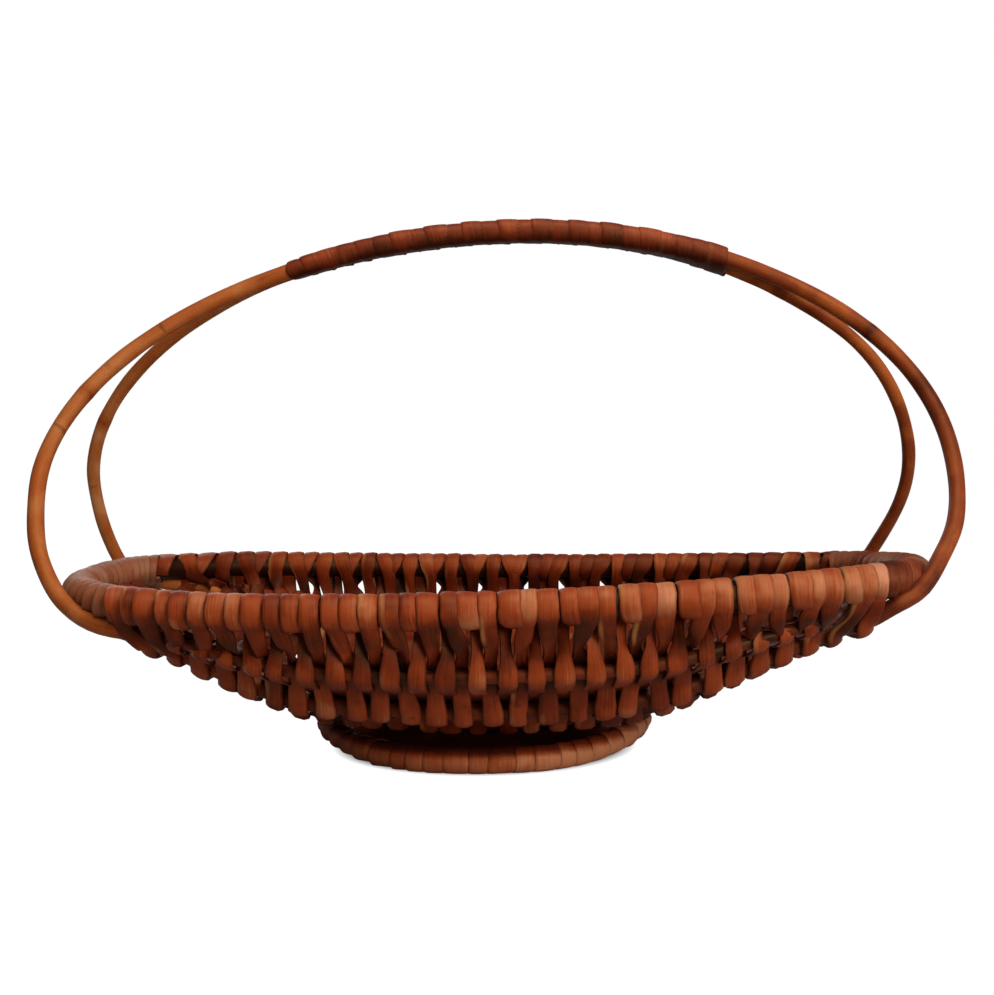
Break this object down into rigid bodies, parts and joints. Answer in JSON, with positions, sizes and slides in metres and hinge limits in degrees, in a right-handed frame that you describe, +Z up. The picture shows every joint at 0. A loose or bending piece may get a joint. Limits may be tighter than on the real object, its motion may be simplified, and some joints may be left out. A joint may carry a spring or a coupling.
{
  "type": "flat wicker basket",
  "caption": "Shallow boat-shaped wicker basket: willow ribs woven across with flat strip, bound oval rim and round foot, and a fixed arched handle of paired rods with a wound grip",
  "frame": {"origin": "centre of the bounding box, on the floor under the foot ring", "axes": "+X along the basket from its left end to its right end, +Y from the front to the back, +Z up"},
  "size_m": [0.3502, 0.2326, 0.2096],
  "materials": {
    "willow_rod": "varnished round willow rod, reddish brown",
    "handle_rod": "varnished round rod, golden brown",
    "willow_strip": "varnished flat split strip, dark reddish brown",
    "binding_strip": "varnished flat binding strip, reddish brown"
  },
  "bodies": {
    "root": {"rim_core": "willow_rod", "rib_01": "willow_rod", "rib_03": "willow_rod", "rib_04": "willow_rod", "rib_05": "willow_rod", "rib_06": "willow_rod", "rib_07": "willow_rod", "rib_08": "willow_rod", "rib_10": "willow_rod", "handle_hoop_front": "handle_rod", "handle_hoop_back": "handle_rod", "weaving_strip_01": "willow_strip", "weaving_strip_02": "willow_strip", "weaving_strip_03": "willow_strip", "weaving_strip_04": "willow_strip", "weaving_strip_05": "willow_strip", "weaving_strip_06": "willow_strip", "weaving_strip_07": "willow_strip", "weaving_strip_08": "willow_strip", "weaving_strip_09": "willow_strip", "weaving_strip_10": "willow_strip", "weaving_strip_11": "willow_strip", "weaving_strip_12": "willow_strip", "weaving_strip_13": "willow_strip", "weaving_strip_14": "willow_strip", "rim_binding_left": "binding_strip", "rim_binding_right": "binding_strip", "grip_binding": "binding_strip", "foot_binding_front": "binding_strip", "foot_binding_back": "binding_strip", "foot_core": "willow_rod"}
  },
  "joints": []
}
